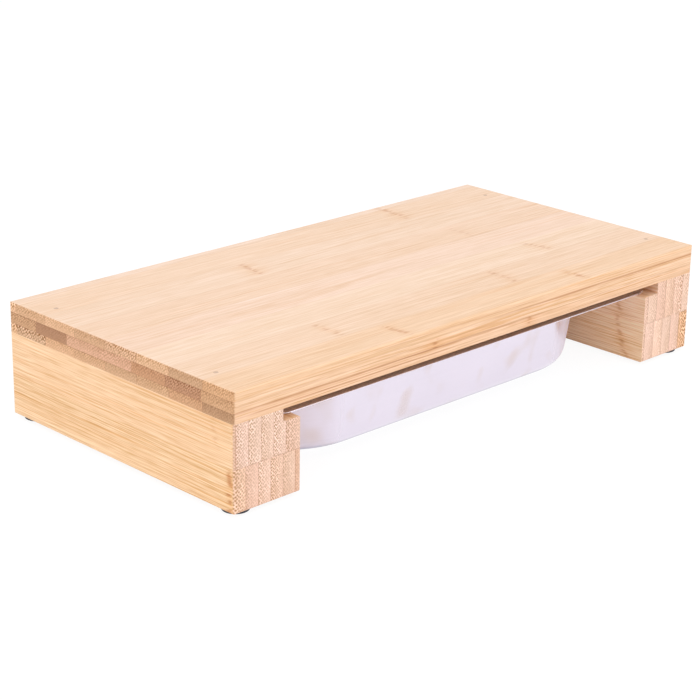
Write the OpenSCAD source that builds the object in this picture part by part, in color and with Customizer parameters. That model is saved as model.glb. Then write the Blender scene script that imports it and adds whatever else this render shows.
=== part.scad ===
// Bamboo cutting board on two rails, with a pressed steel tray that slides between them.
// Origin: centre of the footprint, at the underside of the feet. X runs along the board,
// the front is at -Y, and +Z is up. Millimetres.

/* [Board] */
// Length of the board, along the grain
board_w = 400; // [360:1:440]
// Depth of the board, front to back
board_d = 200; // [194:1:216]
// Thickness of the top ply
top_ply_t = 5.8; // [4:0.1:9]
// Thickness of the core ply
core_ply_t = 6.7; // [4:0.1:9]
// Thickness of the bottom ply
bottom_ply_t = 6; // [4:0.1:9]
// Width of a stave in the top and bottom plies
outer_stave_w = 27.9; // [24:0.1:30]
// Width of the rearmost stave in the top and bottom plies
outer_first_w = 7.6; // [4:0.1:20]
// Width of the foremost stave in the top and bottom plies
outer_last_w = 25; // [14:0.1:32]
// Width of a stave in the core ply
core_stave_w = 29.4; // [25:0.1:32]
// Width of the rearmost stave in the core ply
core_first_w = 26.5; // [14:0.1:32]
// Width of the foremost stave in the core ply
core_last_w = 26.5; // [14:0.1:32]
// Radius of the block's upright corners
corner_r = 2.5; // [1.5:0.1:6]
// Radius of the block's long outer edges, above and below
edge_r = 1.5; // [0.8:0.1:2.5]

/* [Rails] */
// Width of a rail
rail_w = 48; // [47:0.5:56]
// Height of a rail
rail_h = 52; // [50:1:70]
// Height of a rail's upper row of staves
upper_row_h = 26; // [24:0.5:36]
// Width of a stave in the rails
rail_stave_w = 9; // [8:0.1:9.4]
// Width of the outermost stave, left rail, upper row
left_upper_first_w = 1.6; // [1:0.1:9]
// Width of the outermost stave, left rail, lower row
left_lower_first_w = 8.6; // [3:0.1:10]
// Width of the outermost stave, right rail, upper row
right_upper_first_w = 8.5; // [3:0.1:10]
// Width of the outermost stave, right rail, lower row
right_lower_first_w = 9.9; // [3:0.1:11]
// Width of the rebate that carries the tray's rim
rebate_w = 12.5; // [9:0.5:18]
// Height of the rebate
rebate_h = 7.3; // [5:0.1:12]
// Chamfer on the rails' inner long edges
inner_ease = 0.6; // [0.3:0.1:1.5]

/* [Tray] */
// Depth of the tray over its rim, front to back
tray_d = 176; // [160:1:186]
// Height of the tray's underside above the worktop
worktop_gap = 2.2; // [1:0.1:20]
// Distance of the rim behind the board's front edge
tray_set_back = 6.3; // [2:0.1:12]
// Thickness of the tray's sheet
sheet_t = 0.8; // [0.5:0.1:1.5]
// Width of the rim along the front and the back
rim_w = 16; // [10:0.5:19]
// Radius of the rim's corners
rim_corner_r = 8; // [4:1:20]
// Radius of the pan's upright corners, at the rim
pan_corner_r = 60; // [30:1:66]
// Radius between the pan's walls and its floor
pan_floor_r = 11; // [4:1:16]
// Radius of the bend between the pan's walls and its rim
rim_bend_r = 2; // [1:0.5:4]
// Lean of the pan's walls from upright, in degrees
wall_draft = 8; // [3:1:14]
// Gap between each end of the rim and the rebate's wall
rim_end_gap = 2; // [0.5:0.1:4]
// Gap between each end wall of the pan, at its top, and the rail
pan_end_gap = 5.5; // [2:0.1:9]
// Running gap between the rim and the ledge below it
rim_run_gap = 0.2; // [0.1:0.1:0.6]

/* [Feet] */
// Diameter of a foot
foot_d = 16; // [10:1:24]
// Height of a foot
foot_h = 2.5; // [1.5:0.5:6]
// Distance of a foot's rim inside the rail's two outer faces
foot_margin = 2.5; // [2.5:0.1:8]
// Radius of a foot's lower edge
foot_edge_r = 0.9; // [0.4:0.1:1.4]
// Lean of a foot's side, measured across its upper face
foot_flare = 0.5; // [0.2:0.1:1.5]

/* [Fixings] */
// Diameter of a pin's shank
pin_d = 1.6; // [1.2:0.1:2.4]
// Length of a pin under its head
pin_l = 38; // [28:1:42]
// Length of a pin's point
pin_point_l = 3; // [2:0.5:5]
// Diameter of a pin at its tip
pin_tip_d = 0.4; // [0.2:0.1:0.8]
// Diameter of a pin's head
pin_head_d = 2.8; // [2.6:0.1:4]
// Thickness of a pin's head
pin_head_t = 0.8; // [0.5:0.1:1.5]
// Thickness of the filler over a pin's head
filler_t = 1.4; // [0.8:0.1:2.5]
// Distance of a pin from the board's end
pin_from_end = 13; // [11:0.5:17]
// Distance of a pin from the board's front or back edge
pin_from_side = 29; // [28:0.5:34]
// Radial clearance of a pin and its filler in the wood
pin_fit = 0.05; // [0.02:0.01:0.1]

/* [Hidden] */
$fn = 96;
outer_staves = 8;
core_staves = 7;
rail_staves = 6;
past = 1;
arc_steps = 8;

board_t = top_ply_t + core_ply_t + bottom_ply_t;
rail_z = foot_h;
row_joint_z = rail_z + rail_h - upper_row_h;
board_z = rail_z + rail_h;
core_z = board_z + bottom_ply_t;
top_z = core_z + core_ply_t;
block_h = rail_h + board_t;
block_top = rail_z + block_h;

// Half the clear width between the two rails, and between the two rebates' walls
bay_half = board_w / 2 - rail_w;
rebate_half = bay_half + rebate_w;
ledge_z = board_z - rebate_h;

rim_z = ledge_z + rim_run_gap;
rim_top = rim_z + sheet_t;
tray_y = -board_d / 2 + tray_set_back + tray_d / 2;
rim_half_w = rebate_half - rim_end_gap;
pan_half_w = bay_half - pan_end_gap;
pan_half_d = tray_d / 2 - rim_w;
corner_x = pan_half_w - pan_corner_r;
corner_y = pan_half_d - pan_corner_r;

foot_inset = foot_d / 2 + foot_margin;
pin_x = board_w / 2 - pin_from_end;
pin_y = board_d / 2 - pin_from_side;
pin_seat = block_top - filler_t;

front = -1;
back = 1;
left = -1;
right = 1;

pale = [0.97, 0.85, 0.72];
straw = [0.95, 0.82, 0.66];
honey = [0.90, 0.74, 0.57];
rose = [0.88, 0.72, 0.61];
russet = [0.78, 0.57, 0.42];
brown = [0.71, 0.51, 0.38];
amber = [0.86, 0.65, 0.42];
steel = [0.86, 0.84, 0.88];
filler = [0.66, 0.50, 0.38];
black = [0.08, 0.08, 0.09];

top_tones = [pale, straw, pale, straw, pale, pale, straw, honey];
core_tones = [honey, brown, rose, rose, russet, brown, honey];
bottom_tones = [straw, pale, straw, straw, straw, straw, honey, honey];
left_upper_tones = [honey, pale, pale, pale, pale, straw];
left_lower_tones = [honey, straw, pale, straw, straw, honey];
right_upper_tones = [pale, straw, straw, straw, pale, straw];
right_lower_tones = [amber, pale, pale, pale, pale, straw];

// Distance of joint i from the edge that the first stave starts at. Joints are laid out from both
// edges inwards, and the middle stave takes what is left.
function joint(i, count, first, last, pitch, total) =
    i == 0 ? 0
    : i == count ? total
    : i <= count / 2 ? first + (i - 1) * pitch
    : total - last - (count - 1 - i) * pitch;

// Rounded rectangle about the origin
module rounded_rect(w, h, r) {
    square([w - 2 * r, h], center = true);
    square([w, h - 2 * r], center = true);
    for (x = [-1, 1], y = [-1, 1])
        translate([x * (w / 2 - r), y * (h / 2 - r)])
            circle(r);
}

// The whole block of board and rails as it is sanded after gluing, with every outer edge rounded
module block_form() {
    mid_z = rail_z + block_h / 2;
    intersection() {
        translate([0, 0, rail_z - past])
            linear_extrude(block_h + 2 * past)
                rounded_rect(board_w, board_d, corner_r);
        translate([0, 0, mid_z])
            rotate([90, 0, 0])
                linear_extrude(board_d + 2 * past, center = true)
                    rounded_rect(board_w, block_h, edge_r);
        translate([0, 0, mid_z])
            rotate([90, 0, 90])
                linear_extrude(board_w + 2 * past, center = true)
                    rounded_rect(board_d, block_h, edge_r);
    }
}

// Runs its children at the four places of the pins
module at_pins() {
    for (x = [left, right], y = [front, back])
        translate([x * pin_x, y * pin_y, 0])
            children();
}

// A pin's shank, point and head, grown by a clearance
module pin_form(grow) {
    r = pin_d / 2 + grow;
    shank_l = pin_l - pin_point_l;
    translate([0, 0, pin_seat - pin_head_t - shank_l])
        cylinder(h = shank_l + grow, r = r);
    translate([0, 0, pin_seat - pin_head_t - pin_l - grow])
        cylinder(h = pin_point_l + grow, r1 = pin_tip_d / 2 + grow, r2 = r);
    translate([0, 0, pin_seat - pin_head_t])
        cylinder(h = pin_head_t, r = pin_head_d / 2 + grow);
}

// The holes that the pins and their fillers fill
module pin_holes() {
    at_pins() {
        pin_form(pin_fit);
        translate([0, 0, pin_seat])
            cylinder(h = filler_t + past, r = pin_head_d / 2 + pin_fit);
    }
}

// One stave of the board's plies, numbered from the back
module ply_stave(i, count, first, last, pitch, z, t) {
    y0 = joint(i - 1, count, first, last, pitch, board_d);
    y1 = joint(i, count, first, last, pitch, board_d);
    difference() {
        intersection() {
            block_form();
            translate([-board_w / 2 - past, board_d / 2 - y1, z])
                cube([board_w + 2 * past, y1 - y0, t]);
        }
        pin_holes();
    }
}

module top_ply_stave(i) {
    color(top_tones[i - 1])
        ply_stave(i, outer_staves, outer_first_w, outer_last_w, outer_stave_w, top_z, top_ply_t);
}

module core_ply_stave(i) {
    color(core_tones[i - 1])
        ply_stave(i, core_staves, core_first_w, core_last_w, core_stave_w, core_z, core_ply_t);
}

module bottom_ply_stave(i) {
    color(bottom_tones[i - 1])
        ply_stave(i, outer_staves, outer_first_w, outer_last_w, outer_stave_w, board_z, bottom_ply_t);
}

// The bar that a right-hand rail loses to its rebate, and the chamfers on its inner edges
module rail_cuts() {
    translate([bay_half - past, -board_d / 2 - past, ledge_z])
        cube([rebate_w + past, board_d + 2 * past, rebate_h + past]);
    for (z = [rail_z, ledge_z])
        translate([bay_half, 0, z])
            rotate([0, 45, 0])
                cube([inner_ease * sqrt(2), board_d + 2 * past, inner_ease * sqrt(2)], center = true);
}

// One stave of a rail's row, numbered from the rail's outer face; the left rail is mirrored
module rail_stave(side, i, first, z, h) {
    x0 = i == 1 ? 0 : first + (i - 2) * rail_stave_w;
    x1 = i == rail_staves ? rail_w : first + (i - 1) * rail_stave_w;
    mirror([side == left ? 1 : 0, 0, 0])
        difference() {
            intersection() {
                block_form();
                translate([board_w / 2 - x1, -board_d / 2 - past, z])
                    cube([x1 - x0, board_d + 2 * past, h]);
            }
            rail_cuts();
            pin_holes();
        }
}

module left_rail_upper_stave(i) {
    color(left_upper_tones[i - 1])
        rail_stave(left, i, left_upper_first_w, row_joint_z, upper_row_h);
}

module left_rail_lower_stave(i) {
    color(left_lower_tones[i - 1])
        rail_stave(left, i, left_lower_first_w, rail_z, rail_h - upper_row_h);
}

module right_rail_upper_stave(i) {
    color(right_upper_tones[i - 1])
        rail_stave(right, i, right_upper_first_w, row_joint_z, upper_row_h);
}

module right_rail_lower_stave(i) {
    color(right_lower_tones[i - 1])
        rail_stave(right, i, right_lower_first_w, rail_z, rail_h - upper_row_h);
}

// A low round rubber foot, a little narrower below, with a rounded lower edge
module foot(x, y) {
    r = foot_d / 2;
    low_r = r - foot_flare;
    color(black)
        translate([x * (board_w / 2 - foot_inset), y * (board_d / 2 - foot_inset), 0])
            rotate_extrude() {
                polygon([
                    [0, 0],
                    [low_r - foot_edge_r, 0],
                    [low_r, foot_edge_r],
                    [r, foot_h],
                    [0, foot_h]
                ]);
                intersection() {
                    translate([low_r - foot_edge_r, foot_edge_r])
                        circle(foot_edge_r);
                    translate([low_r - foot_edge_r, 0])
                        square([foot_edge_r, foot_edge_r]);
                }
            }
}

module rail_pins() {
    color(steel)
        at_pins()
            pin_form(0);
}

module pin_fillers() {
    color(filler)
        at_pins()
            translate([0, 0, pin_seat])
                cylinder(h = filler_t, r = pin_head_d / 2);
}

// Points along an arc about [x, z], from angle a to angle b
function arc(x, z, r, a, b) = [
    for (i = [0:arc_steps])
        let (turn = a + (b - a) * i / arc_steps)
            [x + r * cos(turn), z + r * sin(turn)]
];

// Half section of the pan, from reach inside the axis of its corner out to where the rim turns
// flat. It is either the underside's form, which ends inside the rim, or the hollow above the sheet.
module half_section(hollow, reach) {
    inset = hollow ? 0 : sheet_t;
    top = hollow ? rim_top + past : rim_z + sheet_t / 2;
    floor_arc_z = worktop_gap + sheet_t + pan_floor_r;
    floor_arc_x = pan_corner_r - (rim_z - floor_arc_z) * tan(wall_draft)
        - (pan_floor_r + sheet_t) / cos(wall_draft);
    bend_x = pan_corner_r + rim_bend_r * (1 - sin(wall_draft)) / cos(wall_draft);
    bend_z = rim_z - rim_bend_r;
    polygon(concat(
        [[-reach, top], [-reach, floor_arc_z - pan_floor_r - inset]],
        arc(floor_arc_x, floor_arc_z, pan_floor_r + inset, -90, -wall_draft),
        arc(bend_x, bend_z, rim_bend_r + sheet_t - inset, 180 - wall_draft, 90),
        [[bend_x, top]]
    ));
}

// One straight side of the pan's form, from its middle line out to +X
module pan_side(hollow, half_w, l) {
    translate([half_w, 0, 0])
        rotate([90, 0, 0])
            linear_extrude(l, center = true)
                half_section(hollow, half_w + past);
}

// The form of the pan's underside or of its hollow: four straight sides and four round corners
module pan_form(hollow) {
    for (turn = [0, 180]) {
        rotate([0, 0, turn])
            pan_side(hollow, corner_x, 2 * corner_y);
        rotate([0, 0, turn + 90])
            pan_side(hollow, corner_y, 2 * corner_x);
    }
    for (x = [-1, 1], y = [-1, 1])
        translate([x * corner_x, y * corner_y, 0])
            rotate_extrude()
                half_section(hollow, 0);
}

// The pressed pan: a flat rim, four leaning walls, round corners and a flat floor
module tray() {
    color(steel)
        translate([0, tray_y, 0])
            difference() {
                union() {
                    translate([0, 0, rim_z])
                        linear_extrude(sheet_t)
                            rounded_rect(2 * rim_half_w, tray_d, rim_corner_r);
                    pan_form(false);
                }
                pan_form(true);
            }
}

for (i = [1:outer_staves])
    top_ply_stave(i);
for (i = [1:core_staves])
    core_ply_stave(i);
for (i = [1:outer_staves])
    bottom_ply_stave(i);
for (i = [1:rail_staves])
    left_rail_upper_stave(i);
for (i = [1:rail_staves])
    left_rail_lower_stave(i);
for (i = [1:rail_staves])
    right_rail_upper_stave(i);
for (i = [1:rail_staves])
    right_rail_lower_stave(i);
foot(left, front);  // foot_front_left
foot(right, front);  // foot_front_right
foot(left, back);  // foot_back_left
foot(right, back);  // foot_back_right
rail_pins();
pin_fillers();
tray();
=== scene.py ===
"""Finish for a laminated bamboo cutting board on two rails, with a pressed steel tray under it.

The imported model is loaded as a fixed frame, and nothing in it is moved. The staves, pins and
fillers keep their shape and get their finish here. The tray and the feet are modelled again in
their places.
"""

import math
import random

import bmesh
import bpy
from bpy.props import FloatProperty, FloatVectorProperty, IntProperty, PointerProperty
from mathutils import Matrix, Vector


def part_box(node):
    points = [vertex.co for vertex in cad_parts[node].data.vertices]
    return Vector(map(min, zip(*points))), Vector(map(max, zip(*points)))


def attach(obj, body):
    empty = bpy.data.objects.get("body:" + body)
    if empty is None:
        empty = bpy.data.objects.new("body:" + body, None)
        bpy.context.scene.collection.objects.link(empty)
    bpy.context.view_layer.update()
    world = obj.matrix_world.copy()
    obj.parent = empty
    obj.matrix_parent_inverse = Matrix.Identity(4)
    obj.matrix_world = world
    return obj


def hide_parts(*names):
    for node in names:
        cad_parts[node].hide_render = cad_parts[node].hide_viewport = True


bl_info = {
    "name": "Cutting board with slide-in tray",
    "version": (1, 0, 0),
    "blender": (4, 5, 0),
    "location": "3D View > Sidebar > Cutting board",
    "description": "Finishes the bamboo board, its rails, feet and tray, and sets a plain studio",
    "category": "Object",
}

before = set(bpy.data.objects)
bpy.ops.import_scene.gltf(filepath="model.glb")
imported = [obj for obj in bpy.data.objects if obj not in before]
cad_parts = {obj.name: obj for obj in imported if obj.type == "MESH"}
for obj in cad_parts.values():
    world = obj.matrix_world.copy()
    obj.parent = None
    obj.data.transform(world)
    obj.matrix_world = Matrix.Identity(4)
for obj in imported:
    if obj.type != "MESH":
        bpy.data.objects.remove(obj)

BOARD = "board_stand"
TRAY = "tray"

# The axes that run along, across and through a stave
BOARD_AXES = (0, 1, 2)
RAIL_AXES = (1, 2, 0)

# Tone of each stave. Plies run from the back to the front, rails from the outside inwards.
STAVE_TONES = {
    "top_ply": ("pale", "straw", "pale", "straw", "pale", "pale", "straw", "honey"),
    "core_ply": ("honey", "brown", "rose", "rose", "russet", "brown", "honey"),
    "bottom_ply": ("straw", "pale", "straw", "straw", "straw", "straw", "honey", "honey"),
    "left_rail_upper": ("honey", "pale", "pale", "pale", "pale", "straw"),
    "left_rail_lower": ("honey", "straw", "pale", "straw", "straw", "honey"),
    "right_rail_upper": ("pale", "straw", "straw", "straw", "pale", "straw"),
    "right_rail_lower": ("amber", "pale", "pale", "pale", "pale", "straw"),
}

# How strongly the fibre dots show on the sawn ends, in the same order. Above 0 they are lighter
# than the wood between them, below 0 darker.
STAVE_DOTS = {
    "top_ply": (1.5, 0.8, 0.5, 0.5, 1.2, 0.7, 0.5, 0.7),
    "core_ply": (0.9, 0.3, 0.5, 0.6, 0.6, 1.1, 0.6),
    "bottom_ply": (1.6, 1.5, 0.5, 0.6, 0.4, 0.6, 0.5, 0.5),
    "left_rail_upper": (-0.6, -0.75, -0.75, -0.75, -0.9, -0.75),
    "left_rail_lower": (-1.0, -0.45, -0.75, -0.9, -0.45, -0.4),
    "right_rail_upper": (-0.8, -1.0, -0.7, -0.5, -0.6, -0.6),
    "right_rail_lower": (-1.8, -0.6, -0.5, -0.6, -0.4, -0.8),
}

# Knuckles of the cane that show: place along and across the stave, half width, strength, spread
# and slant. An empty row means none, and a stave that isn't listed gets one or two of its own.
KNUCKLES = {
    "top_ply_stave_1": ((0.105, 0.096, 0.006, 0.5, 0.006, 0.0),),
    "top_ply_stave_2": ((0.105, 0.080, 0.016, 0.9, 0.007, 0.10),),
    "top_ply_stave_3": ((-0.052, 0.052, 0.014, 1.0, 0.011, 0.15),),
    "top_ply_stave_4": ((0.107, 0.021, 0.013, 0.35, 0.012, 0.0),),
    "top_ply_stave_5": (),
    "top_ply_stave_6": ((0.121, -0.035, 0.014, 0.75, 0.008, -0.15),),
    "top_ply_stave_7": (
        (-0.095, -0.062, 0.013, 0.75, 0.004, 0.05),
        (0.055, -0.062, 0.014, 0.85, 0.008, 0.12),
    ),
    "top_ply_stave_8": (
        (-0.066, -0.088, 0.012, 0.85, 0.005, -0.10),
        (0.092, -0.088, 0.012, 0.95, 0.004, -0.05),
    ),
    "core_ply_stave_7": ((-0.045, -0.087, 0.030, 1.0, 0.010, 0.0),),
    "bottom_ply_stave_8": ((0.037, -0.087, 0.030, 0.9, 0.008, 0.0),),
    "right_rail_upper_stave_6": ((-0.078, 0.039, 0.014, 0.8, 0.006, 0.25),),
    "right_rail_lower_stave_6": ((-0.082, 0.016, 0.015, 1.0, 0.005, 0.40),),
    "left_rail_upper_stave_1": ((-0.085, 0.046, 0.010, 0.35, 0.008, 0.2),),
    "left_rail_lower_stave_1": ((-0.0965, 0.014, 0.015, 1.3, 0.003, 0.0),),
}

# Long dark veins on faces along the grain: height, start and end along the stave, strength
VEINS = {
    "top_ply_stave_8": ((0.0700, -0.10, 0.06, 0.4), (0.0674, 0.00, 0.23, 1.0)),
    "core_ply_stave_7": (
        (0.0640, -0.23, 0.02, 0.3),
        (0.0670, 0.00, 0.23, 1.0),
        (0.0607, -0.23, 0.06, 0.9),
    ),
    "bottom_ply_stave_8": (
        (0.0575, -0.23, -0.02, 1.0),
        (0.0603, -0.23, 0.06, 0.9),
        (0.0560, 0.02, 0.22, 0.4),
    ),
    "right_rail_lower_stave_6": ((0.0030, -0.12, 0.12, 1.0), (0.0075, -0.09, 0.06, 0.5)),
    "right_rail_upper_stave_6": ((0.0320, -0.11, -0.02, 0.6),),
}

# How light each sawn end is against the rest of its tone, in the same order as the tones
END_LIGHTNESS = {
    "top_ply": (1.15, 1.0, 1.10, 0.95, 1.0, 1.08, 0.89, 1.0),
    "core_ply": (0.89, 0.93, 1.0, 1.0, 1.0, 1.0, 0.93),
    "bottom_ply": (1.10, 0.92, 1.08, 1.0, 0.95, 0.95, 0.93, 0.75),
    "left_rail_upper": (0.89, 1.0, 1.0, 1.0, 1.0, 0.94),
    "left_rail_lower": (1.0, 1.0, 1.03, 1.0, 1.0, 0.96),
    "right_rail_upper": (1.0, 1.0, 1.0, 1.0, 1.0, 1.0),
    "right_rail_lower": (1.0, 1.0, 1.0, 1.08, 1.03, 1.0),
}

# The left rail's sawn ends are a shade darker than the right rail's
END_SHADE = {"left": 0.97, "right": 1.0}

# Sawn ends with wider apart fibre dots than the rest
COARSE_ENDS = {
    "top_ply_stave_1": 1.15,
    "bottom_ply_stave_1": 1.15,
    "bottom_ply_stave_2": 1.15,
    "left_rail_lower_stave_1": 1.15,
    "right_rail_upper_stave_2": 1.15,
    "right_rail_lower_stave_1": 1.3,
}

# How strong the streaks are on each layer of staves, and on the innermost stave of each rail
STREAKS = {"top_ply": 0.5, "core_ply": 0.75, "bottom_ply": 0.75, "upper": 0.75, "lower": 0.9}
INNER_STREAKS = 0.85

# Fibres along a stave: steps per metre along it and across it, and their share in the streaks
FIBRES = {
    "bands": (3.5, 60.0, 0.11),
    "streaks": (9.0, 640.0, 0.13),
    "fibres": (15.0, 1500.0, 0.52),
    "threads": (70.0, 2300.0, 0.40),
}

# How deep the streaks are, how far they and the shades on a sawn end move red, green and blue,
# and the slant of the rows of fibre dots in radians
STREAK_DEPTH = 0.34
STREAK_TINT = (0.62, 1.0, 1.7)
END_TINT = (0.75, 1.0, 1.35)
DOT_SLANT = 0.65

# The share of red, green and blue that each kind of dark mark leaves of the tone under it
LINE_SHARE = (0.90, 0.76, 0.56)
KNUCKLE_PATCH_SHARE = (0.93, 0.80, 0.64)
KNUCKLE_LINE_SHARE = (0.76, 0.58, 0.45)
VEIN_SHARE = (0.74, 0.55, 0.42)

# The same for the steel, which is a little lighter on the round ends, and for the painted shade in
# its bends
DULL_STEEL_SHARE = (1.10, 1.11, 1.11)
PAINTED_BEND_SHADE_SHARE = (0.56, 0.58, 0.64)

# Marks on the bamboo, in metres: width and wandering of a knuckle's line, distance between
# knuckles, how near a stave's end one may be, and a vein's width, wandering and fading out
KNUCKLE_LINE = 0.0021
KNUCKLE_WANDER = 0.007
KNUCKLE_GAP = 0.27
KNUCKLE_MARGIN = 0.01
VEIN_WIDTH = 0.00038
VEIN_WANDER = 0.0012
VEIN_FADE = 0.03

# What the numbers of a knuckle and of a vein are, in the order in which they are listed above
KNUCKLE_PARTS = ("Along", "Across", "Half Width", "Strength", "Spread", "Slant")
VEIN_PARTS = ("Level", "Start", "Stop", "Strength")

# Steps of the tray's mesh: round a corner, along its straight sides, round the floor's bend, up
# the wall, round the rim's bend and over the sheet's edge
CORNER_STEPS = 28
LONG_SIDE_STEPS = 10
SHORT_SIDE_STEPS = 3
FLOOR_STEPS = 12
WALL_STEPS = 6
BEND_STEPS = 8
EDGE_STEPS = 8

# Where the rings of the flat rim lie, as shares of the way from its bend to its edge, how round
# that edge is, as a share of the sheet, and how much of the floor lies inside its outer ring
RIM_SHARES = (0.35, 0.7)
EDGE_SHARE = 0.45
FLOOR_SHARE = 0.985

# Where each lamp stands, how wide it is, and its share of the key light's power
LAMPS = {
    "Key lamp": ((-0.4, -0.7, 2.4), 2.0, 0.85),
    "Front lamp": ((0.9, -2.6, 0.9), 1.6, 0.50),
    "Side lamp": ((-2.6, 0.5, 1.0), 1.6, 0.65),
}
LAMP_TARGET = (0.0, 0.0, 0.04)

# How far the floor reaches each way, and how bright it looks where a strength of 1 is white
FLOOR_SIZE = 4.0
FLOOR_GLOW = 0.92

# Width of the camera's sensor, in millimetres
SENSOR_WIDTH = 36.0

# Room for one node where a tree is set out
NODE_WIDTH = 240.0
NODE_HEIGHT = 220.0

PLAIN = (1.0, 1.0, 1.0)
WHITE = (1.0, 1.0, 1.0, 1.0)
QUARTER = math.pi / 2


def mm(value):
    """Millimetres as metres."""
    return value / 1000.0


def colour_setting(name, description, default, high=1.0):
    """A colour that the user can change."""
    return FloatVectorProperty(
        name=name, description=description, subtype="COLOR", min=0, max=high, default=default
    )


def length_setting(name, description, default, low, high):
    """A length in metres that the user can change."""
    return FloatProperty(
        name=name,
        description=description,
        subtype="DISTANCE",
        unit="LENGTH",
        min=low,
        max=high,
        default=default,
        precision=5,
    )


def angle_setting(name, description, degrees, **limits):
    """An angle that the user can change, with its default in degrees."""
    return FloatProperty(
        name=name,
        description=description,
        subtype="ANGLE",
        unit="ROTATION",
        default=math.radians(degrees),
        **limits,
    )


class BambooTones(bpy.types.PropertyGroup):
    """Colours of the bamboo, and what its ends, edges and glue lines leave of them. The long
    edges' share and the inner tone are painted light, and the gold partly so.
    """

    pale: colour_setting("Pale", "Lightest staves", (0.93, 0.685, 0.515))
    straw: colour_setting("Straw", "Common light staves", (0.92, 0.655, 0.475))
    honey: colour_setting("Honey", "Warmer yellow staves", (0.91, 0.62, 0.425))
    rose: colour_setting("Rose", "Pinkish steamed staves", (0.95, 0.66, 0.53))
    russet: colour_setting("Russet", "Reddish steamed staves", (0.78, 0.49, 0.33))
    brown: colour_setting("Brown", "Darkest steamed staves", (0.665, 0.41, 0.285))
    amber: colour_setting("Amber", "The one orange stave with dark fibres", (0.84, 0.52, 0.29))
    # Gold is the skin's tone, and on the rails' outer sides also painted light: more saturated
    # than the brightly lit top
    gold: colour_setting(
        "Gold", "Skin of the cane, on the rails' sides and the underside", (0.935, 0.612, 0.360)
    )
    # Painted light: the rails' inner faces get a lighter, warmer tone against their shade and the
    # tray's pinkish bounce
    inner: colour_setting("Inner", "The rails' inner faces, beside the tray", (0.985, 0.665, 0.42))
    # Painted light: the board's long edges are tinted warmer than its brightly lit top
    long_edge_light_share: colour_setting(
        "Long edges", "Share of the tone on the board's long edges", (1.05, 1.0, 0.93), high=1.2
    )
    board_end: colour_setting(
        "Board end", "Share of the tone on the board's sawn ends", (0.735, 0.595, 0.452)
    )
    rail_end: colour_setting(
        "Rail end", "Share of the tone on the rails' sawn ends", (0.975, 0.91, 0.93)
    )
    glue: colour_setting(
        "Glue line", "Share of the tone along the joints between staves", (0.60, 0.42, 0.33)
    )


class BambooGrain(bpy.types.PropertyGroup):
    """Scale and strength of the bamboo's fibres."""

    dot_spacing: length_setting(
        "Fibre spacing", "Distance between fibre bundles on a sawn end", 0.00142, 0.0003, 0.003
    )
    seam: length_setting(
        "Glue line width", "Width of a glued joint as it shows", 0.00042, 0.00005, 0.001
    )
    sway: length_setting(
        "Sway", "How far the fibres wander to the side as they run along", 0.0012, 0.0, 0.01
    )
    streaks: FloatProperty(
        name="Streaks",
        description="Strength of the streaks along the grain",
        subtype="FACTOR",
        min=0,
        max=2,
        default=1.0,
    )
    roughness: FloatProperty(
        name="Roughness",
        description="Roughness of the oiled surface",
        subtype="FACTOR",
        min=0,
        max=1,
        default=0.5,
    )


class TraySizes(bpy.types.PropertyGroup):
    """Section and finish of the pressed tray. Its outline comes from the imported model."""

    sheet: length_setting("Sheet", "Thickness of the steel", 0.0008, 0.0003, 0.002)
    corner_radius: length_setting(
        "Corner radius", "Radius of the pan's upright corners, at the rim", 0.060, 0.02, 0.07
    )
    floor_radius: length_setting(
        "Floor radius", "Inside radius where the walls meet the floor", 0.011, 0.003, 0.02
    )
    bend_radius: length_setting(
        "Bend radius", "Outside radius where the walls turn out into the rim", 0.002, 0.0005, 0.004
    )
    rim_corner_radius: length_setting(
        "Rim corner radius", "Radius of the flat rim's corners", 0.008, 0.002, 0.03
    )
    rim_width: length_setting(
        "Rim width", "Width of the flat rim, from the pan's wall outwards", 0.016, 0.005, 0.02
    )
    draft: angle_setting("Wall lean", "How far the walls lean outwards", 8, min=0.02, max=0.5)
    steel: colour_setting("Steel", "Colour of the satin steel", (0.82, 0.755, 0.86))
    inside: colour_setting("Inside", "Colour of the steel where it faces up", (0.87, 0.79, 0.78))
    # Where the steel faces up, its warmer colour is a painted reflection of the bamboo over it
    stain: colour_setting("Stain", "Colour of the soft stains on it", (0.76, 0.66, 0.68))


class FootSizes(bpy.types.PropertyGroup):
    """The turned rubber feet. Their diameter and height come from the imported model."""

    edge: length_setting(
        "Edge radius", "Rounding of the foot's lower edge", 0.0009, 0.0002, 0.0015
    )
    recess: length_setting(
        "Recess", "Depth of the hollow in the middle of the underside", 0.0003, 0.0, 0.001
    )
    facets: IntProperty(
        name="Facets",
        description="Steps round the foot",
        min=24,
        max=128,
        default=72,
    )
    rubber: colour_setting("Rubber", "Colour of the rubber", (0.028, 0.026, 0.036))


class StudioSettings(bpy.types.PropertyGroup):
    """Camera and light."""

    lens: FloatProperty(
        name="Lens",
        description="Focal length in millimetres, on a 36 mm sensor",
        min=20,
        max=300,
        default=102.614,
    )
    azimuth: angle_setting(
        "Azimuth", "Direction of the camera round the board; 0 looks at the front", -44.823
    )
    elevation: angle_setting("Elevation", "Height of the camera above the horizon", 19.957)
    roll: angle_setting("Roll", "Tilt of the camera about its own line of sight", 1.040)
    place: FloatVectorProperty(
        name="Camera place",
        description="Where the camera stands",
        subtype="TRANSLATION",
        unit="LENGTH",
        default=(-0.84065, -0.83023, 0.44991),
    )
    key: FloatProperty(
        name="Key light",
        description="Power of the large soft lamp above",
        subtype="POWER",
        unit="POWER",
        min=0,
        max=100,
        default=25.0,
    )
    ambient: FloatProperty(
        name="Ambient",
        description="Brightness of the room as it falls on the board",
        min=0,
        max=2,
        default=0.65,
    )


def tones():
    return bpy.context.scene.bamboo_tones


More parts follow.
